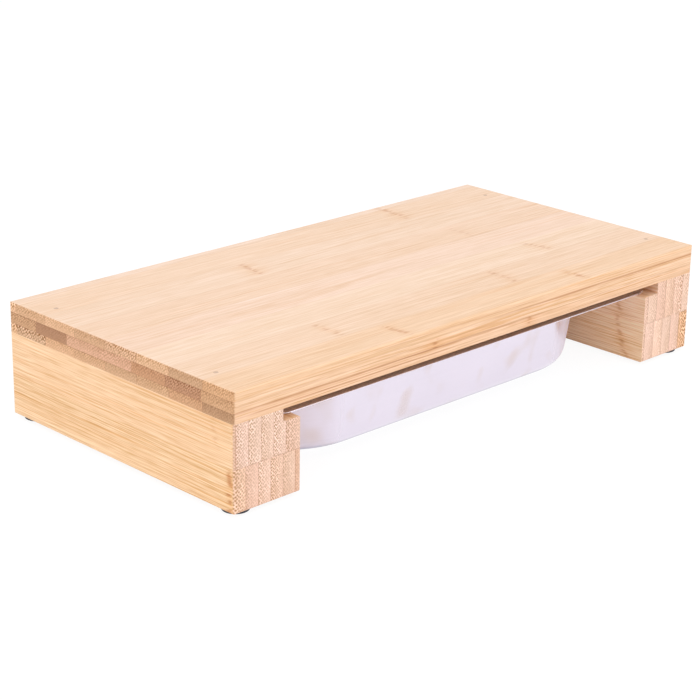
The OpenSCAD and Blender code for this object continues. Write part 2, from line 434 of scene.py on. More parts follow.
def feed(tree, made, inputs):
    """Sets a node's inputs, each from a plain value or from another node's socket."""
    for key, value in inputs.items():
        if isinstance(value, bpy.types.NodeSocket):
            tree.links.new(value, made.inputs[key])
        else:
            made.inputs[key].default_value = value
    return made


def add(tree, kind, inputs=None, **settings):
    """Adds one node, with its options and its inputs."""
    made = tree.nodes.new("ShaderNode" + kind)
    for name, value in settings.items():
        setattr(made, name, value)
    return feed(tree, made, inputs or {})


def calc(tree, operation, *values, clamp=False):
    """One step of arithmetic on numbers."""
    inputs = dict(enumerate(values))
    return add(tree, "Math", inputs, operation=operation, use_clamp=clamp).outputs[0]


def times(tree, a, b, clamp=False):
    """The product of two numbers."""
    return calc(tree, "MULTIPLY", a, b, clamp=clamp)


def times_plus(tree, a, b, more):
    """The product of two numbers, and a third added to it."""
    return calc(tree, "MULTIPLY_ADD", a, b, more)


def minus(tree, a, b):
    """The difference of two numbers."""
    return calc(tree, "SUBTRACT", a, b)


def vec(tree, operation, *values):
    """One step of arithmetic on vectors."""
    return add(tree, "VectorMath", dict(enumerate(values)), operation=operation).outputs[0]


def split(tree, value):
    """The three parts of a vector."""
    return add(tree, "SeparateXYZ", {0: value}).outputs


def join(tree, x, y, z):
    """A vector from three numbers."""
    return add(tree, "CombineXYZ", {0: x, 1: y, 2: z}).outputs[0]


def ramp(tree, value, low, high, start=0.0, end=1.0):
    """Smooth step of a value between low and high."""
    inputs = {"Value": value, 1: low, 2: high, 3: start, 4: end}
    return add(tree, "MapRange", inputs, interpolation_type="SMOOTHSTEP").outputs[0]


def blend(tree, factor, a, b):
    """Mixes colour b over colour a."""
    return add(tree, "Mix", {"Factor": factor, 6: a, 7: b}, data_type="RGBA").outputs[2]


def noise(tree, place, steps, detail=2.0, rough=0.5):
    """Noise from 0 to 1, with its own number of steps per metre in each direction."""
    stretched = vec(tree, "MULTIPLY", place, steps)
    inputs = {"Vector": stretched, "Scale": 1.0, "Detail": detail, "Roughness": rough}
    return add(tree, "TexNoise", inputs, noise_dimensions="3D").outputs[0]


def swing(tree, place, steps, detail=1.0):
    """The same noise about zero, from -0.5 to 0.5."""
    return minus(tree, noise(tree, place, steps, detail), 0.5)


def tinted(tree, factor, colour, share):
    """The colour, with only a share of its red, green and blue left where the factor is 1."""
    return blend(tree, factor, colour, vec(tree, "MULTIPLY", colour, share))


def grey(tree, value):
    """One number as all three parts of a vector."""
    return join(tree, value, value, value)


def shaded(tree, tone, amount, tint):
    """The tone made lighter or darker by an amount, which moves its three colours unevenly."""
    light = vec(tree, "MULTIPLY", grey(tree, amount), tint)
    return vec(tree, "MULTIPLY", tone, vec(tree, "ADD", light, PLAIN))


def bell(tree, distance, width):
    """A bell curve, 1 at no distance."""
    share = calc(tree, "DIVIDE", distance, width)
    return calc(tree, "EXPONENT", times(tree, times(tree, share, share), -1.0))


def fibre_layer(tree, place, steps):
    """Streaks of one thickness, from -1 where they are dark to 1 where they are light."""
    return ramp(tree, noise(tree, place, steps, 1.0), 0.28, 0.72, -1.0, 1.0)


def rgba(colour):
    return (*colour, 1.0)


def arrange(tree):
    """Sets the nodes out in columns, by how many steps each stands before the output."""
    depth = {n.name: 0 for n in tree.nodes}
    for _ in range(len(tree.nodes)):
        moved = False
        for link in tree.links:
            least = depth[link.to_node.name] + 1
            if depth[link.from_node.name] < least:
                depth[link.from_node.name] = least
                moved = True
        if not moved:
            break
    rows = {}
    for n in tree.nodes:
        column = depth[n.name]
        rows[column] = rows.get(column, 0) + 1
        n.location = (-NODE_WIDTH * column, -NODE_HEIGHT * rows[column])


def new_group(name, inputs, outputs):
    """An empty node group and its two end nodes. Its sockets are given as kind and names."""
    tree = bpy.data.node_groups.new(name, "ShaderNodeTree")
    for way, sockets in (("INPUT", inputs), ("OUTPUT", outputs)):
        for kind, labels in sockets.items():
            for label in labels:
                tree.interface.new_socket(label, in_out=way, socket_type="NodeSocket" + kind)
    return tree, tree.nodes.new("NodeGroupInput").outputs, tree.nodes.new("NodeGroupOutput")


def stave_group():
    """The node group of one stave: fibres along it, dots on its sawn ends, and its glue lines.

    Place is (along, across, through) the stave in metres, and Facing is the surface's direction.
    The first part of Seam Low is the share of the glue lines that shows on faces along the grain.
    """
    found = bpy.data.node_groups.get("Bamboo stave")
    if found:
        return found
    tree, given, result = new_group(
        "Bamboo stave",
        {
            "Vector": ("Place", "Facing", "Shift", "Low", "High", "Seam Low", "Seam High"),
            "Color": ("Tone", "Side Share", "End Tone"),
            "Float": ("Dots", "Dots Per Metre", "Skin Side", "Streaks"),
        },
        {"Color": ("Color",), "Float": ("Roughness", "Height", "End")},
    )
    grain = bpy.context.scene.bamboo_grain
    place = given["Place"]
    facing = split(tree, vec(tree, "ABSOLUTE", given["Facing"]))
    end = ramp(tree, facing[0], 0.35, 0.75)
    spot = split(tree, place)
    low = split(tree, given["Low"])
    high = split(tree, given["High"])

    # The fibres sway a little from side to side as they run along the stave
    own = vec(tree, "ADD", place, given["Shift"])
    sway = swing(tree, own, (11.0, 30.0, 30.0))
    ripple = swing(tree, own, (60.0, 90.0, 90.0))
    sway = times(tree, times_plus(tree, ripple, 0.12, sway), grain.sway)
    own = vec(tree, "ADD", own, join(tree, 0.0, sway, sway))

    # Fibres along the stave, from broad bands down to single threads, each from -1 to 1
    layers = {}
    total = 0.0
    for name, (along, across, share) in FIBRES.items():
        layers[name] = fibre_layer(tree, own, (along, across, across))
        total = times_plus(tree, layers[name], share, total)
    total = times(tree, times(tree, total, given["Streaks"]), STREAK_DEPTH)
    long_tone = shaded(tree, given["Tone"], total, STREAK_TINT)

    # Dark lines that come and go, and painted light on the board's long edges: a warmer tint than
    # on the brightly lit top
    lines = noise(tree, vec(tree, "ADD", own, (1.3, 2.9, 4.3)), (11.0, 1400.0, 1400.0), 0.0)
    patch = ramp(tree, noise(tree, own, (7.0, 60.0, 60.0), 1.0), 0.36, 0.58, 0.12, 1.0)
    lines = times(tree, ramp(tree, lines, 0.57, 0.66), patch)
    lines = times(tree, times(tree, lines, given["Streaks"]), 1.0, clamp=True)
    long_tone = tinted(tree, lines, long_tone, LINE_SHARE)
    side = blend(tree, ramp(tree, facing[1], 0.5, 0.9), WHITE, given["Side Share"])
    long_tone = vec(tree, "MULTIPLY", long_tone, side)

    # Sawn ends: fibre bundles as dots in slanting rows, clearest towards the skin side of the cane
    across = split(tree, own)
    flat = join(tree, across[1], across[2], 0.0)
    slant = {"Vector": flat, "Rotation": (0.0, 0.0, DOT_SLANT)}
    rows = add(tree, "Mapping", slant, vector_type="POINT").outputs[0]
    cells = {"Vector": rows, "Scale": given["Dots Per Metre"], "Randomness": 0.45}
    dots = add(tree, "TexVoronoi", cells, feature="F1", voronoi_dimensions="2D")
    dots = ramp(tree, dots.outputs["Distance"], 0.18, 0.60, 1.0, -1.0)
    depth = minus(tree, spot[2], low[2])
    share = calc(tree, "DIVIDE", depth, minus(tree, high[2], low[2]))
    skin = times_plus(tree, minus(tree, share, 0.5), given["Skin Side"], 0.5)
    patches = ramp(tree, noise(tree, own, (0.0, 110.0, 230.0), 1.0), 0.3, 0.7)
    clear = times_plus(tree, skin, 0.8, times_plus(tree, patches, 0.5, 0.25))
    dots = times(tree, times(tree, dots, clear), given["Dots"])
    speckle = swing(tree, own, (0.0, 900.0, 900.0))
    shade = times_plus(tree, dots, 0.36, times(tree, speckle, 0.45))
    shade = times_plus(tree, minus(tree, patches, 0.5), 0.08, shade)
    shade = times_plus(tree, minus(tree, 0.5, skin), 0.20, shade)
    end_tone = shaded(tree, given["End Tone"], shade, END_TINT)
    colour = blend(tree, end, long_tone, end_tone)

    # Glue lines show on a face that cuts the joint, come and go, and are faint along the grain
    low_seam = split(tree, given["Seam Low"])
    high_seam = split(tree, given["Seam High"])
    uneven = ramp(tree, noise(tree, own, (9.0, 60.0, 60.0), 1.0), 0.35, 0.60, 0.55, 1.0)
    joints = []
    for axis in (1, 2):
        below = minus(tree, spot[axis], low[axis])
        above = minus(tree, high[axis], spot[axis])
        lower = times(tree, ramp(tree, below, grain.seam, 0.0), low_seam[axis])
        upper = times(tree, ramp(tree, above, grain.seam, 0.0), high_seam[axis])
        both = calc(tree, "MAXIMUM", lower, upper)
        joints.append(times(tree, both, ramp(tree, facing[axis], 0.9, 0.5)))
    seam = calc(tree, "MAXIMUM", *joints)
    faint = calc(tree, "MAXIMUM", end, low_seam[0])
    seam = times(tree, times(tree, seam, uneven), faint, clamp=True)
    colour = tinted(tree, seam, colour, tones().glue)

    rough = times_plus(tree, layers["streaks"], 0.05, grain.roughness)
    rough = times_plus(tree, end, 0.12, rough)
    height = times_plus(tree, layers["fibres"], 0.3, times(tree, layers["threads"], 0.25))
    height = times_plus(tree, times(tree, dots, end), 0.3, height)
    height = times_plus(tree, times(tree, seam, end), -0.8, height)
    feed(tree, result, {"Color": colour, "Roughness": rough, "Height": height, "End": end})
    arrange(tree)
    return tree


def knuckle_group():
    """The node group of one knuckle: a broken dark line across the stave in a warm patch."""
    found = bpy.data.node_groups.get("Bamboo knuckle")
    if found:
        return found
    numbers = KNUCKLE_PARTS + ("End",)
    tree, given, result = new_group(
        "Bamboo knuckle",
        {"Color": ("Color",), "Vector": ("Place", "Shift"), "Float": numbers},
        {"Color": ("Color",)},
    )
    own = vec(tree, "ADD", given["Place"], given["Shift"])
    spot = split(tree, given["Place"])
    across = minus(tree, spot[1], given["Across"])
    wander = times(tree, swing(tree, own, (0.0, 170.0, 170.0), 2.0), KNUCKLE_WANDER)
    wander = calc(tree, "ADD", wander, times(tree, across, given["Slant"]))
    along = minus(tree, minus(tree, spot[0], given["Along"]), wander)
    reach = calc(tree, "DIVIDE", calc(tree, "ABSOLUTE", across), given["Half Width"])
    inside = times(tree, ramp(tree, reach, 1.0, 0.72), given["Strength"])
    inside = times(tree, inside, minus(tree, 1.0, given["End"]))
    strands = noise(tree, own, (26.0, 620.0, 620.0), 2.0)
    halo = times(tree, bell(tree, along, given["Spread"]), ramp(tree, strands, 0.25, 0.75))
    halo = times(tree, times(tree, halo, inside), 0.75, clamp=True)
    dashes = ramp(tree, noise(tree, own, (120.0, 560.0, 560.0), 0.5), 0.44, 0.58)
    line = times(tree, times(tree, bell(tree, along, KNUCKLE_LINE), dashes), inside)
    line = times(tree, line, 0.85, clamp=True)
    colour = tinted(tree, halo, given["Color"], KNUCKLE_PATCH_SHARE)
    feed(tree, result, {"Color": tinted(tree, line, colour, KNUCKLE_LINE_SHARE)})
    arrange(tree)
    return tree


def vein_group():
    """The node group of one vein: a long dark thread at one height of a face along the grain."""
    found = bpy.data.node_groups.get("Bamboo vein")
    if found:
        return found
    numbers = VEIN_PARTS + ("Height", "End")
    tree, given, result = new_group(
        "Bamboo vein",
        {"Color": ("Color",), "Vector": ("Place", "Shift"), "Float": numbers},
        {"Color": ("Color",)},
    )
    own = vec(tree, "ADD", given["Place"], given["Shift"])
    along = split(tree, given["Place"])[0]
    wander = swing(tree, own, (14.0, 0.0, 0.0))
    off = minus(tree, given["Height"], given["Level"])
    line = bell(tree, times_plus(tree, wander, VEIN_WANDER, off), VEIN_WIDTH)
    starts = ramp(tree, along, given["Start"], calc(tree, "ADD", given["Start"], VEIN_FADE))
    stops = ramp(tree, along, given["Stop"], minus(tree, given["Stop"], VEIN_FADE))
    line = times(tree, line, times(tree, starts, stops))
    broken = ramp(tree, noise(tree, own, (30.0, 200.0, 200.0), 1.0), 0.3, 0.6, 0.4, 1.0)
    line = times(tree, line, times(tree, broken, given["Strength"]))
    line = times(tree, line, minus(tree, 1.0, given["End"]), clamp=True)
    feed(tree, result, {"Color": tinted(tree, line, given["Color"], VEIN_SHARE)})
    arrange(tree)
    return tree


def empty_tree(owner):
    """The cleared node tree of a new material or world."""
    owner.use_nodes = True
    owner.node_tree.nodes.clear()
    return owner.node_tree


def new_material(name):
    """A node material holding just its principled shader and its output."""
    made = bpy.data.materials.new(name)
    tree = empty_tree(made)
    shader = add(tree, "BsdfPrincipled")
    add(tree, "OutputMaterial", {"Surface": shader.outputs["BSDF"]})
    return made, tree, shader


def complete(made, shader, colour, rough, height=None, strength=0.0, distance=0.0, **more):
    """Feeds a material's shader, with a bump where there is a height, and sets its nodes out."""
    tree = made.node_tree
    feed(tree, shader, {"Base Color": colour, "Roughness": rough, **more})
    if height is not None:
        bump = add(tree, "Bump", {"Strength": strength, "Distance": distance, "Height": height})
        feed(tree, shader, {"Normal": bump.outputs["Normal"]})
    arrange(tree)
    return made


def reorder(tree, value, order):
    """A vector with its parts in another order."""
    parts = split(tree, value)
    return join(tree, *(parts[i] for i in order))


def finish_stave(row, number, face_tone, side_share, end_share, order, seams, streaks):
    """Dresses one stave, along its own grain and as if cut from its own piece of cane."""
    node = f"{row}_stave_{number}"
    made, tree, shader = new_material("Bamboo " + node.replace("_", " "))
    draw = random.Random(node)
    low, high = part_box(node)
    shift = tuple(draw.uniform(1.0, 40.0) for _ in range(3))
    spread = tuple(1.0 + draw.uniform(-0.012, 0.012) for _ in range(3))
    face = [min(0.98, t * s) for t, s in zip(getattr(tones(), face_tone), spread)]
    coarse = COARSE_ENDS.get(node, draw.uniform(0.95, 1.06))
    tone = getattr(tones(), STAVE_TONES[row][number - 1])
    lightness = END_LIGHTNESS[row][number - 1]
    end_tone = [t * s * e * lightness for t, s, e in zip(tone, spread, end_share)]
    where = add(tree, "TexCoord").outputs
    place = reorder(tree, where["Object"], order)
    inputs = {
        "Place": place,
        "Facing": reorder(tree, where["Normal"], order),
        "Shift": shift,
        "Tone": rgba(face),
        "Side Share": rgba(side_share),
        "End Tone": rgba(end_tone),
        "Dots": STAVE_DOTS[row][number - 1],
        "Dots Per Metre": 1.0 / (bpy.context.scene.bamboo_grain.dot_spacing * coarse),
        "Skin Side": -1.0 if row.startswith("left") else 1.0,
        "Streaks": streaks,
        "Low": tuple(low[i] for i in order),
        "High": tuple(high[i] for i in order),
        "Seam Low": seams[0],
        "Seam High": seams[1],
    }
    stave = add(tree, "Group", inputs, node_tree=stave_group()).outputs

    def marked(colour, group, parts, values, **more):
        """The colour with one knuckle or vein laid over it."""
        inputs = {"Color": colour, "Place": place, "Shift": shift, "End": stave["End"], **more}
        inputs.update(zip(parts, values))
        return add(tree, "Group", inputs, node_tree=group).outputs["Color"]

    colour = stave["Color"]
    for knuckle in knuckles_of(node, low, high, order):
        colour = marked(colour, knuckle_group(), KNUCKLE_PARTS, knuckle)
    for vein in VEINS.get(node, ()):
        level = split(tree, where["Object"])[2]
        colour = marked(colour, vein_group(), VEIN_PARTS, vein, Height=level)
    rough, height = stave["Roughness"], stave["Height"]
    dress(node, complete(made, shader, colour, rough, height, 0.35, mm(0.1), IOR=1.45))


def knuckles_of(node, low, high, order):
    """The stave's knuckles: those that are listed, or else one or two at places of its own."""
    if node in KNUCKLES:
        return KNUCKLES[node]
    draw = random.Random("knuckle " + node)
    along = (low[order[0]], high[order[0]])
    across = (low[order[1]], high[order[1]])
    length = along[1] - along[0]
    first = along[0] + draw.uniform(0.1, 0.9) * length
    found = []
    for place in (first, first + KNUCKLE_GAP, first - KNUCKLE_GAP):
        if along[0] + KNUCKLE_MARGIN < place < along[1] - KNUCKLE_MARGIN:
            half = (across[1] - across[0]) * 0.75
            strength = draw.uniform(0.5, 0.9)
            spread = draw.uniform(0.004, 0.009)
            found.append((place, sum(across) / 2, half, strength, spread, draw.uniform(-0.1, 0.1)))
    return found


def dress(node, material):
    """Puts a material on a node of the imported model, in every slot that it has."""
    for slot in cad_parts[node].material_slots:
        slot.material = material


def ply_seams(ply, number, count):
    """How strongly a ply stave's joints show on its low sides, and on its high sides.

    Each is (on faces along the grain, across, through). The second one's first part is unused.
    """
    back = 0.0 if number == 1 else 0.5
    front = 0.0 if number == count else 0.5
    under = {"top_ply": 0.5, "core_ply": 0.45, "bottom_ply": 0.0}[ply]
    over = {"top_ply": 0.0, "core_ply": 0.5, "bottom_ply": 0.4}[ply]
    along_grain = 0.3 if ply == "top_ply" else 0.8
    return (along_grain, front, under), (0.0, back, over)


def rail_seams(row, number, count, left):
    """The same for a rail's stave. Its outer side is its low side on the left rail."""
    outer = 0.0 if number == 1 else 0.75
    inner = 0.0 if number == count else 0.75
    sides = (outer, inner) if left else (inner, outer)
    under = 0.55 if row == "upper" else 0.0
    over = 0.55 if row == "lower" else 0.0
    return (0.2, under, sides[0]), (0.0, over, sides[1])


def profile_arc(x, z, radius, start, end, steps):
    """Points on an arc of a section, as (distance out, height)."""
    found = []
    for i in range(steps + 1):
        angle = start + (end - start) * i / steps
        found.append((x + radius * math.cos(angle), z + radius * math.sin(angle)))
    return found


def rounded_reach(angle, half, radius):
    """How far a ray from a corner's axis runs before it leaves the rounded corner of the rim.

    The rim's straight sides are half away from the axis, both ways.
    """
    dx, dy = math.cos(angle), math.sin(angle)
    arc = half - radius
    along = dx * arc + dy * arc
    root = along * along - arc * arc - arc * arc + radius * radius
    if root >= 0.0:
        reach = along + math.sqrt(root)
        if reach * dx >= arc and reach * dy >= arc:
            return reach
    return half / max(dx, dy)


def ring_faces(mesh, rings):
    """Joins neighbouring rings of vertices with four-sided faces."""
    for a, b in zip(rings, rings[1:]):
        count = len(a)
        for i in range(count):
            j = (i + 1) % count
            mesh.faces.new((a[i], a[j], b[j], b[i]))


def smooth_object(name, mesh):
    """An object from a finished bmesh, shaded smooth."""
    data = bpy.data.meshes.new(name)
    bmesh.ops.recalc_face_normals(mesh, faces=mesh.faces)
    mesh.to_mesh(data)
    mesh.free()
    data.polygons.foreach_set("use_smooth", [True] * len(data.polygons))
    made = bpy.data.objects.new(name, data)
    bpy.context.scene.collection.objects.link(made)
    return made


def tray_mesh(sizes):
    """The pressed tray as one closed sheet: floor, leaning walls, round corners and flat rim."""
    low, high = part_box("tray")
    centre = (low + high) / 2
    half_x = (high.x - low.x) / 2
    half_y = (high.y - low.y) / 2
    t = sizes.sheet
    lean = sizes.draft
    corner = sizes.corner_radius
    axis_x = half_x - sizes.rim_width - corner
    axis_y = half_y - sizes.rim_width - corner
    rim_top = high.z
    rim_under = high.z - t
    arc_z = low.z + t + sizes.floor_radius
    drop = (rim_under - arc_z) * math.tan(lean)
    arc_x = corner - drop - (sizes.floor_radius + t) / math.cos(lean)
    bend_x = corner + sizes.bend_radius * (1 - math.sin(lean)) / math.cos(lean)
    bend_z = rim_under - sizes.bend_radius

    def section(inset):
        """Half section of the underside, or of the hollow, a sheet's thickness inside it."""
        floor_r = sizes.floor_radius + t - inset
        bend_r = sizes.bend_radius + inset
        points = profile_arc(arc_x, arc_z, floor_r, -QUARTER, -lean, FLOOR_STEPS)
        wall_end = profile_arc(bend_x, bend_z, bend_r, math.pi - lean, QUARTER, BEND_STEPS)
        foot, head = points[-1], wall_end[0]
        for i in range(1, WALL_STEPS):
            share = i / WALL_STEPS
            out = foot[0] + (head[0] - foot[0]) * share
            points.append((out, foot[1] + (head[1] - foot[1]) * share))
        return points + wall_end

    mesh = bmesh.new()

    def ring(reach_at, z):
        """A ring of vertices at one height; reach_at gives the distance from a corner's axis."""
        corners = []
        for turn, (sx, sy) in enumerate(((1, 1), (-1, 1), (-1, -1), (1, -1))):
            for i in range(CORNER_STEPS + 1):
                angle = QUARTER * i / CORNER_STEPS
                if turn % 2:
                    angle = QUARTER - angle
                reach = reach_at(angle)
                x = sx * (axis_x + reach * math.cos(angle))
                y = sy * (axis_y + reach * math.sin(angle))
                corners.append((x, y))
        full = []
        for i, point in enumerate(corners):
            full.append(point)
            if i % (CORNER_STEPS + 1) == CORNER_STEPS:
                dx = corners[(i + 1) % len(corners)][0] - point[0]
                dy = corners[(i + 1) % len(corners)][1] - point[1]
                steps = LONG_SIDE_STEPS if abs(dx) > abs(dy) else SHORT_SIDE_STEPS
                for k in range(1, steps):
                    full.append((point[0] + dx * (k / steps), point[1] + dy * (k / steps)))
        return [mesh.verts.new((centre.x + x, centre.y + y, z)) for x, y in full]

    def rim_ring(back, share, z):
        """A ring on the flat rim, a share of the way from its bend to its edge, set back."""
        half = sizes.rim_width + corner - back

        def reach_at(angle):
            edge = rounded_reach(angle, half, sizes.rim_corner_radius - back)
            return bend_x + (edge - bend_x) * share

        return ring(reach_at, z)

    def pan_rings(inset):
        return [ring(lambda angle, r=r: r, z) for r, z in section(inset)]

    # The rings run from the middle of the underside out to the edge of the rim, and back inside
    edge = t * EDGE_SHARE
    under = pan_rings(0.0)
    hollow = pan_rings(t)
    rings = under + [rim_ring(edge, share, rim_under) for share in RIM_SHARES]
    middle = (rim_top + rim_under) / 2
    for i in range(EDGE_STEPS + 1):
        angle = -QUARTER + math.pi * i / EDGE_STEPS
        rings.append(rim_ring(edge * (1 - math.cos(angle)), 1.0, middle + t / 2 * math.sin(angle)))
    rings += [rim_ring(edge, share, rim_top) for share in reversed(RIM_SHARES)]
    rings.extend(reversed(hollow))
    ring_faces(mesh, rings)

    # The flat floor, with a narrow ring round it so that the bend shades evenly
    for ends in (under[0], hollow[0]):
        inner = []
        for v in ends:
            x = (v.co.x - centre.x) * FLOOR_SHARE + centre.x
            y = (v.co.y - centre.y) * FLOOR_SHARE + centre.y
            inner.append(mesh.verts.new((x, y, v.co.z)))
        ring_faces(mesh, [ends, inner])
        mesh.faces.new(inner)
    return mesh


def steel_material(sizes):
    """Satin pressed steel: fine drawing lines, soft stains and an uneven polish.

    The round ends are duller than the long walls, and so, a little, are the rim and the floor. The
    bends carry painted shade, and the steel that faces up a painted warm reflection of the bamboo
    over it.
    """
    made, tree, shader = new_material("Satin steel")
    where = add(tree, "TexCoord").outputs
    place = where["Object"]
    blots = noise(tree, vec(tree, "ADD", place, (0.3, 0.7, 0.2)), (64.0, 64.0, 50.0), 0.7, 0.4)
    blots = ramp(tree, blots, 0.52, 0.78)
    clouds = swing(tree, vec(tree, "ADD", place, (2.0, 4.0, 6.0)), (14.0, 14.0, 22.0), 2.0)
    lines = noise(tree, place, (18.0, 18.0, 1500.0), 2.0)
    colour = blend(tree, times(tree, blots, 0.9), rgba(sizes.steel), rgba(sizes.stain))

    # The round ends are duller, and the steel that faces up gets a warmer colour: a painted
    # reflection of the bamboo over it
    facing = split(tree, where["Normal"])
    dull = ramp(tree, calc(tree, "ABSOLUTE", facing[0]), 0.05, 0.35)
    colour = tinted(tree, dull, colour, DULL_STEEL_SHARE)
    upward = ramp(tree, facing[2], 0.4, 0.9)
    matt = calc(tree, "MAXIMUM", dull, times(tree, upward, 0.25))
    colour = blend(tree, upward, colour, rgba(sizes.inside))

    # Painted shade: the undersides of both bends, at the rim and at the floor, are darker where
    # they face down into shadow
    bend = times(tree, ramp(tree, facing[2], -0.55, -0.88), ramp(tree, facing[2], -0.995, -0.975))
    colour = tinted(tree, bend, colour, PAINTED_BEND_SHADE_SHARE)
    bright = times_plus(tree, clouds, 0.10, 1.0)
    bright = times_plus(tree, minus(tree, lines, 0.5), 0.05, bright)
    colour = vec(tree, "MULTIPLY", colour, grey(tree, bright))
    rough = times_plus(tree, clouds, 0.12, 0.22)
    rough = times_plus(tree, blots, 0.05, rough)
    rough = times_plus(tree, dull, 0.20, rough)
    metal = times_plus(tree, matt, -0.75, 1.0)
    return complete(made, shader, colour, rough, lines, 0.10, mm(0.05), Metallic=metal)


def foot_mesh(node, sizes):
    """One turned foot: flat on top, a rounded lower edge and a shallow hollow underneath."""
    low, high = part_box(node)
    radius = (high.x - low.x) / 2
    height = high.z - low.z
    hollow = radius * 0.55
    edge = sizes.edge
    top_edge = mm(0.3)

    # Half section, from the hollow underneath out round the lower edge and up to the flat top
    profile = [(hollow - mm(0.5), sizes.recess), (hollow - mm(0.1), sizes.recess * 0.7)]
    profile.append((hollow + mm(0.2), 0.0))
    profile.extend(profile_arc(radius - edge, edge, edge, -QUARTER, 0.0, 8))
    profile.append((radius, height * 0.7))
    profile.extend(profile_arc(radius - top_edge, height - top_edge, top_edge, 0.0, QUARTER, 4))
    profile.append((radius * 0.6, height))
    mesh = bmesh.new()
    rings = []
    for r, z in profile:
        turned = []
        for i in range(sizes.facets):
            angle = 2 * math.pi * i / sizes.facets
            x = (low.x + high.x) / 2 + r * math.cos(angle)
            y = (low.y + high.y) / 2 + r * math.sin(angle)
            turned.append(mesh.verts.new((x, y, low.z + z)))
        rings.append(turned)
    ring_faces(mesh, rings)
    mesh.faces.new(rings[0])
    mesh.faces.new(rings[-1])
    return mesh


def rubber_material(sizes):
    """Matt black rubber with a fine moulded speckle."""
    made, tree, shader = new_material("Black rubber")
    place = add(tree, "TexCoord").outputs["Object"]
    speckle = noise(tree, place, (2600.0, 2600.0, 2600.0), 2.0)
    dust = ramp(tree, noise(tree, place, (420.0, 420.0, 420.0), 3.0), 0.5, 0.75)
    dusty = [c * 2.2 + 0.01 for c in sizes.rubber]
    colour = blend(tree, times(tree, dust, 0.5), rgba(sizes.rubber), rgba(dusty))
    rough = times_plus(tree, speckle, 0.2, 0.45)
    return complete(made, shader, colour, rough, speckle, 0.25, mm(0.05))


def pin_material():
    """Bright drawn steel of the hidden pins."""
    made, tree, shader = new_material("Pin steel")
    place = add(tree, "TexCoord").outputs["Object"]
    lines = noise(tree, place, (2000.0, 2000.0, 60.0), 2.0)
    colour = blend(tree, lines, (0.50, 0.50, 0.52, 1.0), (0.62, 0.62, 0.63, 1.0))
    rough = times_plus(tree, lines, 0.15, 0.25)
    return complete(made, shader, colour, rough, Metallic=1.0)


def filler_material():
    """Wood putty over the pins, a little darker than the board and faintly grained."""
    made, tree, shader = new_material("Wood putty")
    place = add(tree, "TexCoord").outputs["Object"]
    grain = noise(tree, place, (900.0, 2400.0, 2400.0), 3.0)
    colour = blend(tree, grain, (0.56, 0.37, 0.27, 1.0), (0.78, 0.56, 0.42, 1.0))
    rough = times_plus(tree, grain, 0.2, 0.55)
    return complete(made, shader, colour, rough, grain, 0.3, mm(0.1))


class CUTTINGBOARD_OT_board(bpy.types.Operator):
    """Gives the three plies of the board their bamboo finish"""

    bl_idname = "cutting_board.board"
    bl_label = "Finish the board"

    def execute(self, context):
        # The long edges' share is painted light, warmer than the brightly lit top
        edges, ends = tones().long_edge_light_share, tones().board_end
        for ply in ("top_ply", "core_ply", "bottom_ply"):
            names = STAVE_TONES[ply]
            strength = STREAKS[ply] * context.scene.bamboo_grain.streaks
            for i, tone in enumerate(names, start=1):
                face_tone = "gold" if ply == "bottom_ply" and i < len(names) else tone
                seams = ply_seams(ply, i, len(names))
                finish_stave(ply, i, face_tone, edges, ends, BOARD_AXES, seams, strength)
        return {"FINISHED"}


class CUTTINGBOARD_OT_rails(bpy.types.Operator):
    """Gives the two rails their bamboo finish"""

    bl_idname = "cutting_board.rails"
    bl_label = "Finish the rails"

    def execute(self, context):
        for side in ("left", "right"):
            ends = [part * END_SHADE[side] for part in tones().rail_end]
            for row in ("upper", "lower"):
                rail = f"{side}_rail_{row}"
                names = STAVE_TONES[rail]
                for i, tone in enumerate(names, start=1):
                    # The outer stave takes the gold tone, partly painted light on the rail's side,
                    # and the inner stave the inner tone, painted light against the shade beside
                    # the tray
                    face_tone = {1: "gold", len(names): "inner"}.get(i, tone)
                    seams = rail_seams(row, i, len(names), side == "left")
                    strength = INNER_STREAKS if i == len(names) else STREAKS[row]
                    strength *= context.scene.bamboo_grain.streaks
                    finish_stave(rail, i, face_tone, PLAIN, ends, RAIL_AXES, seams, strength)
        return {"FINISHED"}


class CUTTINGBOARD_OT_tray(bpy.types.Operator):
    """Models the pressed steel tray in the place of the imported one"""

    bl_idname = "cutting_board.tray"
    bl_label = "Make the tray"

    def execute(self, context):
        sizes = context.scene.tray_sizes
        piece = smooth_object("pressed_tray", tray_mesh(sizes))
        piece.data.materials.append(steel_material(sizes))
        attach(piece, TRAY)
        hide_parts("tray")
        return {"FINISHED"}


class CUTTINGBOARD_OT_feet(bpy.types.Operator):
    """Turns the four rubber feet"""

    bl_idname = "cutting_board.feet"
    bl_label = "Make the feet"

    def execute(self, context):
        sizes = context.scene.foot_sizes
        rubber = rubber_material(sizes)
        for corner in ("front_left", "front_right", "back_left", "back_right"):
            piece = smooth_object("rubber_foot_" + corner, foot_mesh("foot_" + corner, sizes))
            piece.data.materials.append(rubber)
            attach(piece, BOARD)
            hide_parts("foot_" + corner)
        return {"FINISHED"}


class CUTTINGBOARD_OT_pins(bpy.types.Operator):
    """Finishes the rail pins and the fillers over them"""

    bl_idname = "cutting_board.pins"
    bl_label = "Finish the pins"

    def execute(self, context):
        dress("rail_pins", pin_material())
        dress("pin_fillers", filler_material())
        return {"FINISHED"}


def seen_directly(tree):
    """1 where the camera, a reflection or a view through glass meets the surface, otherwise 0."""
    rays = add(tree, "LightPath").outputs
    seen = calc(tree, "MAXIMUM", rays["Is Camera Ray"], rays["Is Glossy Ray"])
    return calc(tree, "MAXIMUM", seen, rays["Is Transmission Ray"])


